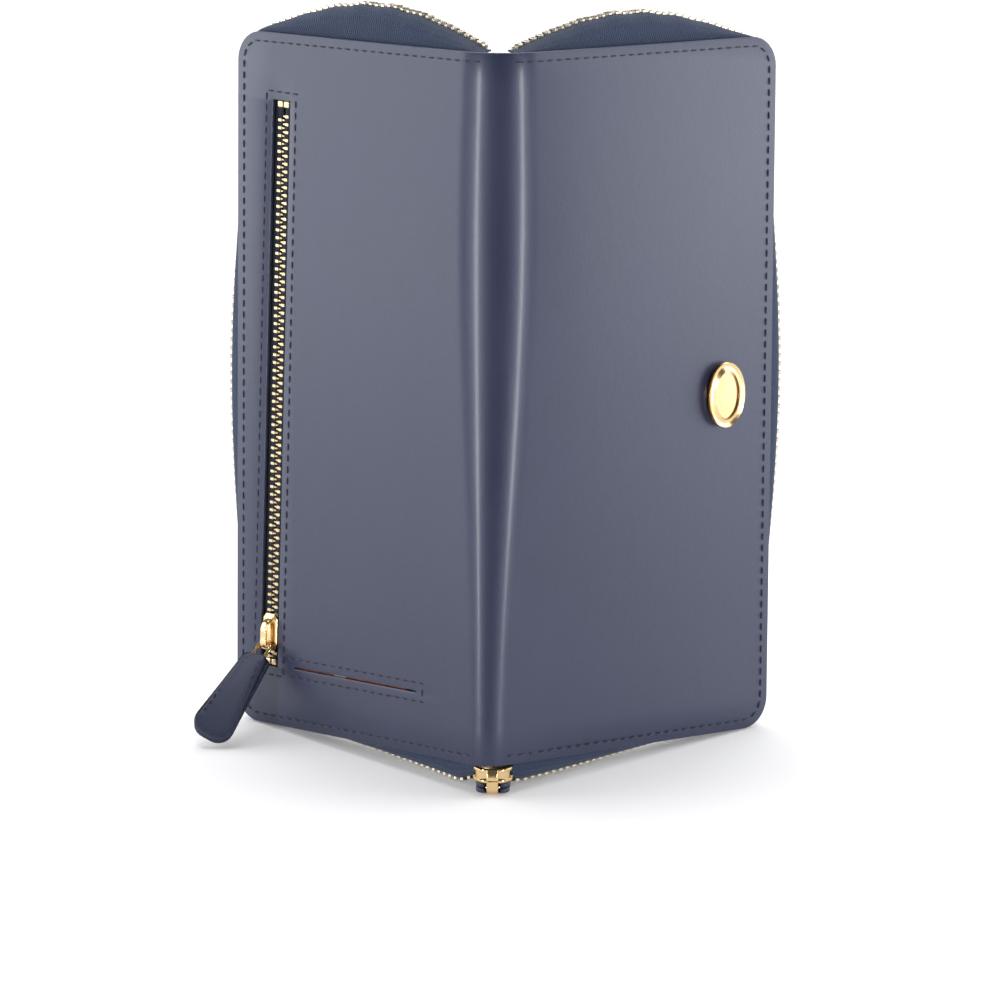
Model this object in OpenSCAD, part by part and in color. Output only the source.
// Long zip-around purse, standing open on its end. Millimetres, +Z up.
// Each cover is drawn flat in its own frame: X runs from the fold to the outer edge,
// +Y is the outward face of the leather, Z runs along the purse. n below means that Y.

/* [Purse] */
// Length of the purse along its spine
purse_h = 195; // [180:1:205]
// Width of a cover from its fold line to its outer edge
cover_w = 85; // [80:1:95]
// Radius of the covers' outer corners
corner_r = 8.5; // [6:0.5:12]
// Thickness of the outer leather
leather_t = 1.4; // [1.2:0.1:1.6]
// Outer radius of the rounded spine
spine_r = 17; // [16:0.5:20]

/* [Pose] */
// Angle of each cover away from lying flat open
open_half = 41.5; // [35:0.5:45]
// How far the standing purse leans back
lean = 8.3; // [7:0.1:9]
// How far the purse is turned about the vertical
turn = 2.5; // [0:0.5:5]
// Height of the spine's bottom edge above the surface
lift = 8.15; // [8:0.05:9]

/* [Pocket zip] */
// Length of the window in the back cover
window_l = 160; // [140:1:165]
// Width of the window
window_w = 6.9; // [6.8:0.1:7.4]
// Distance from the window's lower end to the cover's outer edge
window_inset = 9.4; // [9.4:0.2:12]
// Height of the window's lower end
window_z = 16.5; // [15:0.5:20]
// How far the window's top end leans towards the spine
window_tilt = 1.6; // [0:0.1:2.5]
// Length of the slit that runs from the window's foot
slit_l = 48; // [30:1:50]
// Distance from the window to the slit
slit_gap = 6.5; // [5:0.5:8]

/* [Zip hardware] */
// Spacing of the teeth on one side of a small zip
tooth_pitch = 2.2; // [2:0.1:2.4]
// Spacing of the teeth on one side of the main zip
main_pitch = 2.4; // [2.2:0.1:2.8]
// Length of a slider
slider_l = 11; // [10:0.5:12]
// Angle between the pocket pull and the cover
pull_swing = 44; // [20:1:60]
// Length of a leather pull tab
tab_l = 28.5; // [22:0.5:29]
// Width of the pocket pull's tab
tab_w = 12; // [10:0.5:14]
// Width of the main pull's tab
main_tab_w = 10.8; // [10:0.2:12]

/* [Card slots] */
// Step from one slot's mouth to the next
slot_step = 7; // [6:0.5:7.5]
// Mouth of the deepest slot, measured from the fold
slot_top = 76; // [74:0.5:77]

/* [Hidden] */

$fn = 48;
navy = "#3d4358";
navy_tape = "#37507a";
lining_blue = "#2c3a5e";
board_grey = "#8d8a84";
pocket_red = "#c4502f";
gold = "#d9ae5f";
pale_gold = "#cfc3a6";

// Middle surface of the leather bends about this radius
mid_r = spine_r - leather_t / 2;
fold_x = mid_r * sin(open_half);
fold_y = spine_r - mid_r * cos(open_half);
fold_gap = 0.4;
// Middle of the footprint behind the spine and beside it
middle_y = 51.26;
middle_x = -0.97;

// Layers of a cover, as n at each layer's inner face
bag_t = 0.35;
tape_t = 0.5;
tape_n = -leather_t / 2 - 0.05 - tape_t;
bag_outer_n = -1.75;
bag_inner_n = -3.05;
board_t = 0.8;
board_n = -4.0;
lining_t = 0.35;
lining_n = -4.5;
slip_t = 0.7;
slip_n = -5.4;
card_t = 0.6;
card_gap = 0.15;
inner_inset = 4;
bag_inset = 9;

// Small zip: chain half width, tooth size, gap for the slider's post
chain_w = 2.1;
post_gap = 0.2;
tooth_len = 1.1;
tooth_t = 1.6;
stop_l = 1.6;
stop_end = 2.4;
chain_n = tape_n + tape_t / 2;
small_tape_w = 6;
plate_t = 0.55;
plate_gap = 0.15;
flange_w = 2.9;
bridge_h = 2.7;
bridge_t = 0.8;
bridge_w = 2.2;
fork_d = 1.2;
fork_x = 2.3;
fork_l = 6;
tab_t = 3.4;
window_travel_gap = 4;

// Main zip: tape hidden in the seam, tooth size, and where the rows begin and end beside the fold
seam_w = 6;
main_tape_t = 0.4;
main_tooth = [2.4, 1.2, 1.8];
bottom_start = 9;
top_end = 2;
edge_l = cover_w - corner_r;
side_l = purse_h - 2 * corner_r;
arc_l = corner_r * PI / 2;
side_start = edge_l - bottom_start + arc_l;
top_start = side_start + side_l + arc_l;
path_l = top_start + edge_l - top_end;

// Coin pocket between the covers
coin_z = [12, 183];
coin_y = [16, 74];
coin_half = 1.4;
coin_panel_t = 0.7;
coin_zip_y = 77;
coin_zip_l = coin_z[1] - coin_z[0] - 8;
coin_tape_x = 3.9;
coin_seam = 6;

card_z = [[8, 96], [99, 187]];
card_foot = 6;
emblem_u = 67;
emblem_z = 96;

// Places everything on the surface, leaning back on the tab and two corners
module stand() {
    translate([-middle_x, -middle_y, lift]) rotate([0, 0, -turn]) rotate([-lean, 0, 0]) children();
}

module on_back() {
    stand() translate([-fold_x, fold_y, 0]) rotate([0, 0, 180 - open_half]) children();
}

module on_front() {
    stand() mirror([1, 0, 0]) translate([-fold_x, fold_y, 0])
        rotate([0, 0, 180 - open_half]) children();
}

// A sheet of the cover's shape: inset from the edge, with its inner face at n
module cover_sheet(inset, n, t, from = 0) {
    r = max(corner_r - inset, 1);
    translate([0, n + t, 0]) rotate([90, 0, 0]) linear_extrude(t) {
        translate([from, inset]) square([cover_w - inset - r - from, purse_h - 2 * inset]);
        translate([from, inset + r]) square([cover_w - inset - from, purse_h - 2 * inset - 2 * r]);
        for (z = [inset + r, purse_h - inset - r]) translate([cover_w - inset - r, z]) circle(r);
    }
}

// A rectangular sheet in a cover's frame
module panel(u, z, n, t) {
    translate([u[0], n, z[0]]) cube([u[1] - u[0], t, z[1] - z[0]]);
}

// Small zips are drawn along +Z with their face towards +Y and the chain's middle at n = 0
module zip_teeth(length, side) {
    first = stop_end + (side > 0 ? 0 : tooth_pitch / 2);
    inner = side > 0 ? post_gap : -chain_w;
    for (z = [first : tooth_pitch : length - stop_end - tooth_len])
        translate([inner, -tooth_t / 2, z]) cube([chain_w - post_gap, tooth_t, tooth_len]);
}

module zip_tape(length, side, width) {
    translate([side > 0 ? 0.6 : -width, -tape_t / 2, -3]) cube([width - 0.6, tape_t, length + 6]);
}

module zip_stops(length) {
    for (z = [0.3, length - 0.3 - stop_l], side = [-1, 1])
        translate([side > 0 ? post_gap : -chain_w, -tooth_t / 2, z])
            cube([chain_w - post_gap, tooth_t, stop_l]);
}

// Slider: two plates joined by a thin post between the rows, with side flanges
module zip_slider() {
    top = tooth_t / 2 + plate_gap;
    for (n = [top, -top - plate_t])
        translate([0, n + plate_t, 0]) rotate([90, 0, 0]) linear_extrude(plate_t) slider_outline();
    translate([-0.12, -top - 0.01, 2]) cube([0.24, 2 * top + 0.02, slider_l - 4]);
    for (side = [-1, 1])
        translate([side > 0 ? flange_w - 0.6 : -flange_w, tape_t / 2 + 0.15, 1.5])
            cube([0.6, top - tape_t / 2 - 0.1, slider_l - 5]);
}

module slider_outline() {
    translate([0, flange_w]) circle(flange_w);
    translate([-flange_w, flange_w]) square([2 * flange_w, slider_l - 2 * flange_w]);
    translate([-flange_w + 1, flange_w]) square([2 * flange_w - 2, slider_l - flange_w]);
}

// Arched bridge on the slider's face that holds the pull
module zip_bridge() {
    base = tooth_t / 2 + plate_gap + plate_t;
    span = slider_l - 2;
    translate([bridge_w / 2, base, 1]) rotate([0, -90, 0]) linear_extrude(bridge_w)
        difference() {
            bridge_side(span, bridge_h, 0);
            bridge_side(span, bridge_h, bridge_t);
        }
}

module bridge_side(span, height, wall) {
    low = wall > 0 ? -1 : 0;
    corner = wall > 0 ? 0.8 : 1.6;
    top = height - wall;
    polygon([[wall, low], [wall, top - corner], [wall + corner * 0.3, top - corner * 0.3],
        [wall + corner, top], [span - wall - corner, top],
        [span - wall - corner * 0.3, top - corner * 0.3], [span - wall, top - corner], [span - wall, low]]);
}

// Height of a pull's pin above the chain's middle
function pin_n() = tooth_t / 2 + plate_gap + plate_t + bridge_h - bridge_t - fork_d / 2 - 0.12;

// Pull parts hang from the pin at the origin, along -Z, with the face towards +Y
module pull_fork() {
    translate([-fork_x - fork_d / 2 - 0.1, 0, 0]) rotate([0, 90, 0])
        cylinder(d = fork_d, h = 2 * fork_x + fork_d + 0.2);
    for (side = [-1, 1]) translate([side * fork_x, 0, -fork_l]) cylinder(d = fork_d - 0.1, h = fork_l);
}

module pull_tab(length, width, thick) {
    foot = width / 2;
    start = fork_l - 1.5;
    translate([0, thick / 2, 0]) rotate([90, 0, 0]) linear_extrude(thick) difference() {
        union() {
            translate([-foot, -start - length + foot]) square([width, length - foot - 2]);
            translate([-foot + 2, -start - 2]) square([width - 4, 2]);
            for (side = [-1, 1]) translate([side * (foot - 2), -start - 2]) circle(2);
            translate([0, -start - length + foot]) circle(foot);
        }
        for (side = [-1, 1]) translate([side * fork_x - fork_d / 2 - 0.05, -fork_l - 0.05])
            square([fork_d + 0.1, fork_l]);
    }
}

// Closed skin over equal rings of points, with flat ends
module skin(rings) {
    count = len(rings[0]);
    last = len(rings) - 1;
    points = [for (ring = rings) each ring];
    walls = [for (i = [0 : last - 1], j = [0 : count - 1])
        let (a = i * count + j, b = i * count + (j + 1) % count)
            each [[a, b, b + count], [a, b + count, a + count]]];
    ends = [[for (j = [count - 1 : -1 : 0]) j], [for (j = [0 : count - 1]) last * count + j]];
    polyhedron(points, concat(walls, ends), convexity = 6);
}

// Path round a cover's three free edges: [u, z, direction outwards in the cover's plane]
function path_at(s) =
    s < side_start - arc_l ? [bottom_start + s, 0, -90]
    : s < side_start ? corner_at(s - side_start + arc_l, corner_r, -90)
    : s < side_start + side_l ? [cover_w, corner_r + s - side_start, 0]
    : s < top_start ? corner_at(s - side_start - side_l, purse_h - corner_r, 0)
    : [edge_l - (s - top_start), purse_h, 90];

function corner_at(s, z, from) =
    let (a = from + s / corner_r * 180 / PI)
        [cover_w - corner_r + corner_r * cos(a), z + corner_r * sin(a), a];

// How far the tape's free edge stands outside the leather's edge, and how far inwards it leans
// Along a top edge it rises to a height, from a share of the edge before it, over a share of the edge
bottom_flare = 5.2;
side_flare = 5.2;
back_top = [9.2, 0.06, 1.13];
front_top = [7.9, 0.02, 1.07];
tuck = 2.8;
function hump(x) = sin(180 * min(max(x, 0), 1));
function along_bottom(s) = (bottom_start + s) / edge_l;
function flare(s, top) =
    s < side_start - arc_l
        ? bottom_flare - (bottom_flare + tuck) * along_bottom(s) + 0.3 * hump(along_bottom(s))
    : s < side_start ? -tuck
    : s < side_start + side_l ? -tuck + (tuck + side_flare) * hump((s - side_start) / side_l)
    : s < top_start ? -tuck + (tuck + along_top(top_start, top)) * (s - top_start + arc_l) / arc_l
    : along_top(s, top);
function along_top(s, top) = top[0] * hump(((s - top_start) / edge_l + top[1]) / top[2]);
function inward(s) =
    s < side_start - arc_l ? 4.6 + 2 * along_bottom(s)
    : s < side_start ? 6.6
    : s < side_start + side_l ? 6.6 - 3.8 * hump((s - side_start) / side_l)
    : 6.6;

function in_cover(place, d, n) =
    [place[0] + d * cos(place[2]), n, place[1] + d * sin(place[2])];

// Sewn edge under the leather, then out past the edge and round to the free edge
function tape_ring(s, top) =
    let (place = path_at(s), q = flare(s, top), p = inward(s), t = main_tape_t,
        seam_n = -leather_t / 2 - 0.1,
        line = [[-seam_w, seam_n], [-0.2, seam_n], [q * 0.55 + 0.3, seam_n - p * 0.35], [q, -p]],
        back = [for (i = [3 : -1 : 0]) line[i] + (i == 3 ? [-t, 0.1] : [-t * (i > 0 ? 0.6 : 0), -t])])
            [for (q2 = concat(line, back)) in_cover(place, q2[0], q2[1])];

tape_steps = 84;
module main_tape(top) {
    skin([for (i = [0 : tape_steps]) tape_ring(i * path_l / tape_steps, top)]);
}

// Teeth crimped on the tape's free edge, each turned to follow it
module main_teeth(top) {
    for (s = [1 : main_pitch : path_l - 2]) {
        place = path_at(s);
        at = in_cover(place, flare(s, top), -inward(s));
        slope = atan2(flare(s, top) * 0.45 - 0.3, inward(s) * 0.65);
        translate(at) rotate([0, -place[2], 0]) rotate([0, 0, slope])
            translate([-main_tooth[2] / 2, -main_tooth[0] / 2 - 0.4, -main_tooth[1] / 2])
                cube([main_tooth[2], main_tooth[0], main_tooth[1]]);
    }
}

module main_stop(top) {
    s = path_l - 0.4;
    at = in_cover(path_at(s), flare(s, top), -inward(s));
    translate(at + [-1, -1.6, -0.6]) cube([1.2, 2.6, 2]);
}

// ---- Spine, fixed to nothing else: the root of the assembly ----

module spine_band(outer_r, thick, inset, half) {
    translate([0, spine_r, inset]) linear_extrude(purse_h - 2 * inset) intersection() {
        difference() {
            circle(outer_r, $fn = 180);
            circle(outer_r - thick, $fn = 180);
        }
        polygon([[0, 0], [-60 * sin(half), -60 * cos(half)], [0, -80], [60 * sin(half), -60 * cos(half)]]);
    }
}

module spine_leather() {
    color(navy) stand() spine_band(spine_r, leather_t, 0, open_half - fold_gap);
}
module spine_stiffener() {
    color(board_grey) stand() spine_band(spine_r - leather_t - 0.2, 0.6, 5, open_half - 9);
}
module spine_lining() {
    color(lining_blue) stand() spine_band(spine_r - leather_t - 1.0, 0.4, 4, open_half - 5);
}

// The main slider lies level under the spine's foot, facing down, ready to run towards +Y
main_slider_z = -2.9;
main_slider_y = -2.5;
module main_slider_frame() {
    stand() translate([0, main_slider_y, main_slider_z]) rotate([lean - 90, 0, 0]) children();
}
module main_slider() {
    color(gold) main_slider_frame() main_slider_body();
}
main_flange = 5.4;
main_plate = 0.9;
main_half = 1.1;
module main_slider_body() {
    for (n = [main_half, -main_half - main_plate]) translate([0, n + main_plate, 0])
        rotate([90, 0, 0]) linear_extrude(main_plate) {
            translate([0, 4]) circle(4);
            translate([-4, 4]) square([8, 3]);
            translate([-main_flange, 4.5]) square([2 * main_flange, 7]);
        }
    translate([-1.2, -main_half - 0.01, 6]) cube([2.4, 2 * main_half + 0.02, 4]);
    for (side = [-1, 1]) translate([side > 0 ? main_flange - 0.8 : -main_flange, 0.35, 4.8])
        cube([0.8, main_half - 0.3, 6]);
}
main_bridge_h = 3.25;
main_bridge_l = 5.6;
main_bridge_t = 0.7;
module main_slider_bridge() {
    base = main_half + main_plate;
    color(gold) main_slider_frame() translate([1.5, base, 0.4]) rotate([0, -90, 0]) linear_extrude(3)
        difference() {
            bridge_side(main_bridge_l, main_bridge_h, 0);
            bridge_side(main_bridge_l, main_bridge_h, main_bridge_t);
        }
}

// Short ends of both tapes where they meet inside the slider
module main_tape_start() {
    color(navy_tape) main_slider_frame() for (side = [-1, 1])
        translate([side > 0 ? 1.4 : -4.4, -0.2, 5.5]) cube([3, 0.4, 8]);
}

// The main pull lies flat on the surface under the purse
main_tab_t = 3.5;
main_pin_n = main_half + main_plate + main_bridge_h - main_bridge_t - fork_d / 2 - 0.12;
module main_pull_frame() {
    main_slider_frame() translate([0, main_pin_n, 2]) rotate([180, 0, 0]) children();
}
module main_pull_fork() { color(gold) main_pull_frame() pull_fork(); }
module main_pull_tab() { color(navy) main_pull_frame() pull_tab(tab_l, main_tab_w, main_tab_t); }

// ---- Coin pocket, held in the spine ----

module coin_panel(side) {
    color(lining_blue) stand()
        translate([side > 0 ? coin_half - coin_panel_t : -coin_half, coin_y[0], coin_z[0]])
            cube([coin_panel_t, coin_y[1] - coin_y[0], coin_z[1] - coin_z[0]]);
}
module coin_panel_left() { coin_panel(-1); }
module coin_panel_right() { coin_panel(1); }
module coin_base() {
    color(navy) stand() translate([-coin_half - 0.6, coin_y[0] - 6, coin_z[0]])
        cube([2 * coin_half + 1.2, 5.8, coin_z[1] - coin_z[0]]);
}
module coin_zip_frame() {
    stand() translate([0, coin_zip_y, coin_z[0] + 4]) children();
}
module coin_tape(side) {
    inner = coin_half + 0.1;
    top = coin_zip_y + tape_t / 2;
    color(navy_tape) stand() translate([0, 0, coin_z[0] + 1]) linear_extrude(coin_z[1] - coin_z[0] - 2)
        mirror([side > 0 ? 0 : 1, 0]) polygon([[0.6, top - tape_t], [0.6, top], [coin_tape_x, top],
            [coin_tape_x, coin_y[1] - 0.2], [inner + tape_t, coin_y[1] - 3],
            [inner + tape_t, coin_y[1] - coin_seam], [inner, coin_y[1] - coin_seam],
            [inner, coin_y[1] - 3], [coin_tape_x - tape_t, coin_y[1]], [coin_tape_x - tape_t, top - tape_t]]);
}
module coin_tape_left() { coin_tape(-1); }
module coin_tape_right() { coin_tape(1); }
module coin_teeth_left() { color(pale_gold) coin_zip_frame() zip_teeth(coin_zip_l, -1); }
module coin_teeth_right() { color(pale_gold) coin_zip_frame() zip_teeth(coin_zip_l, 1); }
module coin_stops() { color(pale_gold) coin_zip_frame() zip_stops(coin_zip_l); }

coin_slider_z = coin_zip_l - slider_l - stop_end;
module coin_slider() {
    color(gold) coin_zip_frame() translate([0, 0, coin_slider_z]) zip_slider();
}
module coin_slider_bridge() {
    color(gold) coin_zip_frame() translate([0, 0, coin_slider_z]) zip_bridge();
}
coin_swing = 8;
module coin_pull_frame() {
    coin_zip_frame() translate([0, pin_n(), coin_slider_z + 2.6]) rotate([coin_swing, 0, 0]) children();
}
module coin_pull_fork() { color(gold) coin_pull_frame() pull_fork(); }
module coin_pull_tab() { color(navy) coin_pull_frame() pull_tab(22, 8, 2.2); }

// ---- Covers ----

module lining_sheet() { color(lining_blue) cover_sheet(inner_inset, lining_n, lining_t, 5); }
module board_sheet() { color(board_grey) cover_sheet(inner_inset + 2, board_n, board_t, 4); }
module slip_sheet() {
    color(navy) panel([card_foot - 1, slot_top + 2.5], [card_z[0][0] - 2, card_z[1][1] + 2], slip_n, slip_t);
}
module card_sheets(k) {
    n = slip_n - k * (card_t + card_gap);
    top = slot_top - (k - 1) * slot_step;
    color(navy) for (z = card_z) panel([card_foot, top], z, n, card_t);
}

// Frame of the pocket zip on the back cover
module pocket_zip_frame() {
    on_back() translate([cover_w - window_inset - window_w / 2, chain_n, window_z])
        rotate([0, -window_tilt, 0]) mirror([1, 0, 0]) children();
}

module window_cut(grow) {
    translate([cover_w - window_inset - window_w / 2, 0, window_z]) rotate([0, -window_tilt, 0])
        translate([-window_w / 2 - grow, -10, -grow])
            cube([window_w + 2 * grow, 20, window_l + 2 * grow]);
}

module back_leather() {
    color(navy) on_back() difference() {
        cover_sheet(0, -leather_t / 2, leather_t, fold_gap);
        window_cut(0);
        translate([cover_w - window_inset - window_w - slit_gap - slit_l, -5, window_z + 0.4])
            cube([slit_l, 10, 0.7]);
    }
}
module back_board() { on_back() board_sheet(); }
module back_lining() { on_back() lining_sheet(); }
module back_slip_panel() { on_back() slip_sheet(); }
module back_card_panel_1() { on_back() card_sheets(1); }
module back_card_panel_2() { on_back() card_sheets(2); }
module back_card_panel_3() { on_back() card_sheets(3); }
module back_card_panel_4() { on_back() card_sheets(4); }
module back_main_tape() { color(navy_tape) on_back() main_tape(back_top); }
module back_main_teeth() { color(pale_gold) on_back() main_teeth(back_top); }
module back_main_stop() { color(gold) on_back() main_stop(back_top); }

module pocket_lining_outer() {
    color(pocket_red) on_back() difference() {
        panel([20, cover_w - bag_inset + 1.5], [bag_inset, purse_h - bag_inset], bag_outer_n, bag_t);
        window_cut(0.3);
    }
}
module pocket_lining_inner() {
    color(pocket_red) on_back()
        panel([20, cover_w - bag_inset + 1.5], [bag_inset, purse_h - bag_inset], bag_inner_n, bag_t);
}
module pocket_label() {
    color("white") on_back() panel([46, 58], [bag_inset + 4, bag_inset + 24], bag_inner_n + 0.45, 0.2);
}
module pocket_tape_left() { color(navy_tape) pocket_zip_frame() zip_tape(window_l, -1, small_tape_w); }
module pocket_tape_right() { color(navy_tape) pocket_zip_frame() zip_tape(window_l, 1, small_tape_w); }
module pocket_teeth_left() { color(pale_gold) pocket_zip_frame() zip_teeth(window_l, -1); }
module pocket_teeth_right() { color(pale_gold) pocket_zip_frame() zip_teeth(window_l, 1); }
module pocket_stops() { color(pale_gold) pocket_zip_frame() zip_stops(window_l); }

module pocket_slider() {
    color(gold) pocket_zip_frame() translate([0, 0, window_travel_gap]) zip_slider();
}
module pocket_slider_bridge() {
    color(gold) pocket_zip_frame() translate([0, 0, window_travel_gap]) zip_bridge();
}
module pocket_pull_frame() {
    pocket_zip_frame() translate([0, pin_n(), window_travel_gap + 2.6])
        rotate([pull_swing, 0, 0]) children();
}
module pocket_pull_fork() { color(gold) pocket_pull_frame() pull_fork(); }
module pocket_pull_tab() { color(navy) pocket_pull_frame() pull_tab(tab_l, tab_w, tab_t); }

module front_leather() {
    color(navy) on_front() difference() {
        cover_sheet(0, -leather_t / 2, leather_t, fold_gap);
        for (side = [-1, 1]) translate([emblem_u, 5, emblem_z + side * 5]) rotate([90, 0, 0])
            cylinder(d = 1.3, h = 10);
    }
}
module front_board() { on_front() board_sheet(); }
module front_lining() { on_front() lining_sheet(); }
module front_slip_panel() { on_front() slip_sheet(); }
module front_card_panel_1() { on_front() card_sheets(1); }
module front_card_panel_2() { on_front() card_sheets(2); }
module front_card_panel_3() { on_front() card_sheets(3); }
module front_card_panel_4() { on_front() card_sheets(4); }
module front_main_tape() { color(navy_tape) on_front() main_tape(front_top); }
module front_main_teeth() { color(pale_gold) on_front() main_teeth(front_top); }
module front_main_stop() { color(gold) on_front() main_stop(front_top); }

// Oval emblem plate with two prongs that pass through the leather into a washer
module emblem_plate() {
    color(gold) on_front() {
        translate([emblem_u, leather_t / 2 + 0.05, emblem_z]) rotate([-90, 0, 0]) emblem_oval(6, 8.5, 1.4);
        for (side = [-1, 1]) translate([emblem_u, leather_t / 2 + 0.1, emblem_z + side * 5])
            rotate([90, 0, 0]) cylinder(d = 1.1, h = 2.6);
    }
}
module emblem_oval(half_w, half_h, t) {
    linear_extrude(t) {
        for (side = [-1, 1]) translate([0, side * (half_h - half_w)]) circle(half_w);
        translate([-half_w, half_w - half_h]) square([2 * half_w, 2 * (half_h - half_w)]);
    }
}
module emblem_washer() {
    color(pale_gold) on_front() translate([emblem_u, -leather_t / 2 - 0.55, emblem_z]) rotate([-90, 0, 0])
        difference() {
            emblem_oval(4, 8, 0.5);
            for (side = [-1, 1]) translate([0, side * 5, -1]) cylinder(d = 1.12, h = 3);
        }
}

// Folded end panels that join the coin pocket to a cover
gusset_drop = 9;
gusset_t = 0.5;
module gusset(z, drop) {
    near = [[-3.2, 20, z], [-7.5, 22.5, z + drop * 0.3], [-11, 20.5, z]];
    far = [[-2.4, coin_y[1] - 4, z], [-26, 66, z + drop], [-50, 55.5, z]];
    skin([for (i = [0 : 2]) [near[i], far[i], far[i] + [0, 0, gusset_t], near[i] + [0, 0, gusset_t]]]);
}
gusset_z = [coin_z[0] + 3, coin_z[1] - 3];
module gusset_back_top() { color(lining_blue) stand() gusset(gusset_z[1], -gusset_drop); }
module gusset_back_bottom() { color(lining_blue) stand() gusset(gusset_z[0], gusset_drop); }
module gusset_front_top() {
    color(lining_blue) stand() mirror([1, 0, 0]) gusset(gusset_z[1], -gusset_drop);
}
module gusset_front_bottom() {
    color(lining_blue) stand() mirror([1, 0, 0]) gusset(gusset_z[0], gusset_drop);
}

spine_leather();
spine_stiffener();
spine_lining();
main_slider();
main_slider_bridge();
main_tape_start();
main_pull_fork();
main_pull_tab();
coin_panel_left();
coin_panel_right();
coin_base();
coin_tape_left();
coin_tape_right();
coin_teeth_left();
coin_teeth_right();
coin_stops();
coin_slider();
coin_slider_bridge();
coin_pull_fork();
coin_pull_tab();
back_leather();
back_board();
back_lining();
back_slip_panel();
back_card_panel_1();
back_card_panel_2();
back_card_panel_3();
back_card_panel_4();
back_main_tape();
back_main_teeth();
back_main_stop();
pocket_lining_outer();
pocket_lining_inner();
pocket_label();
pocket_tape_left();
pocket_tape_right();
pocket_teeth_left();
pocket_teeth_right();
pocket_stops();
pocket_slider();
pocket_slider_bridge();
pocket_pull_fork();
pocket_pull_tab();
front_leather();
front_board();
front_lining();
front_slip_panel();
front_card_panel_1();
front_card_panel_2();
front_card_panel_3();
front_card_panel_4();
front_main_tape();
front_main_teeth();
front_main_stop();
emblem_plate();
emblem_washer();
gusset_back_top();
gusset_back_bottom();
gusset_front_top();
gusset_front_bottom();
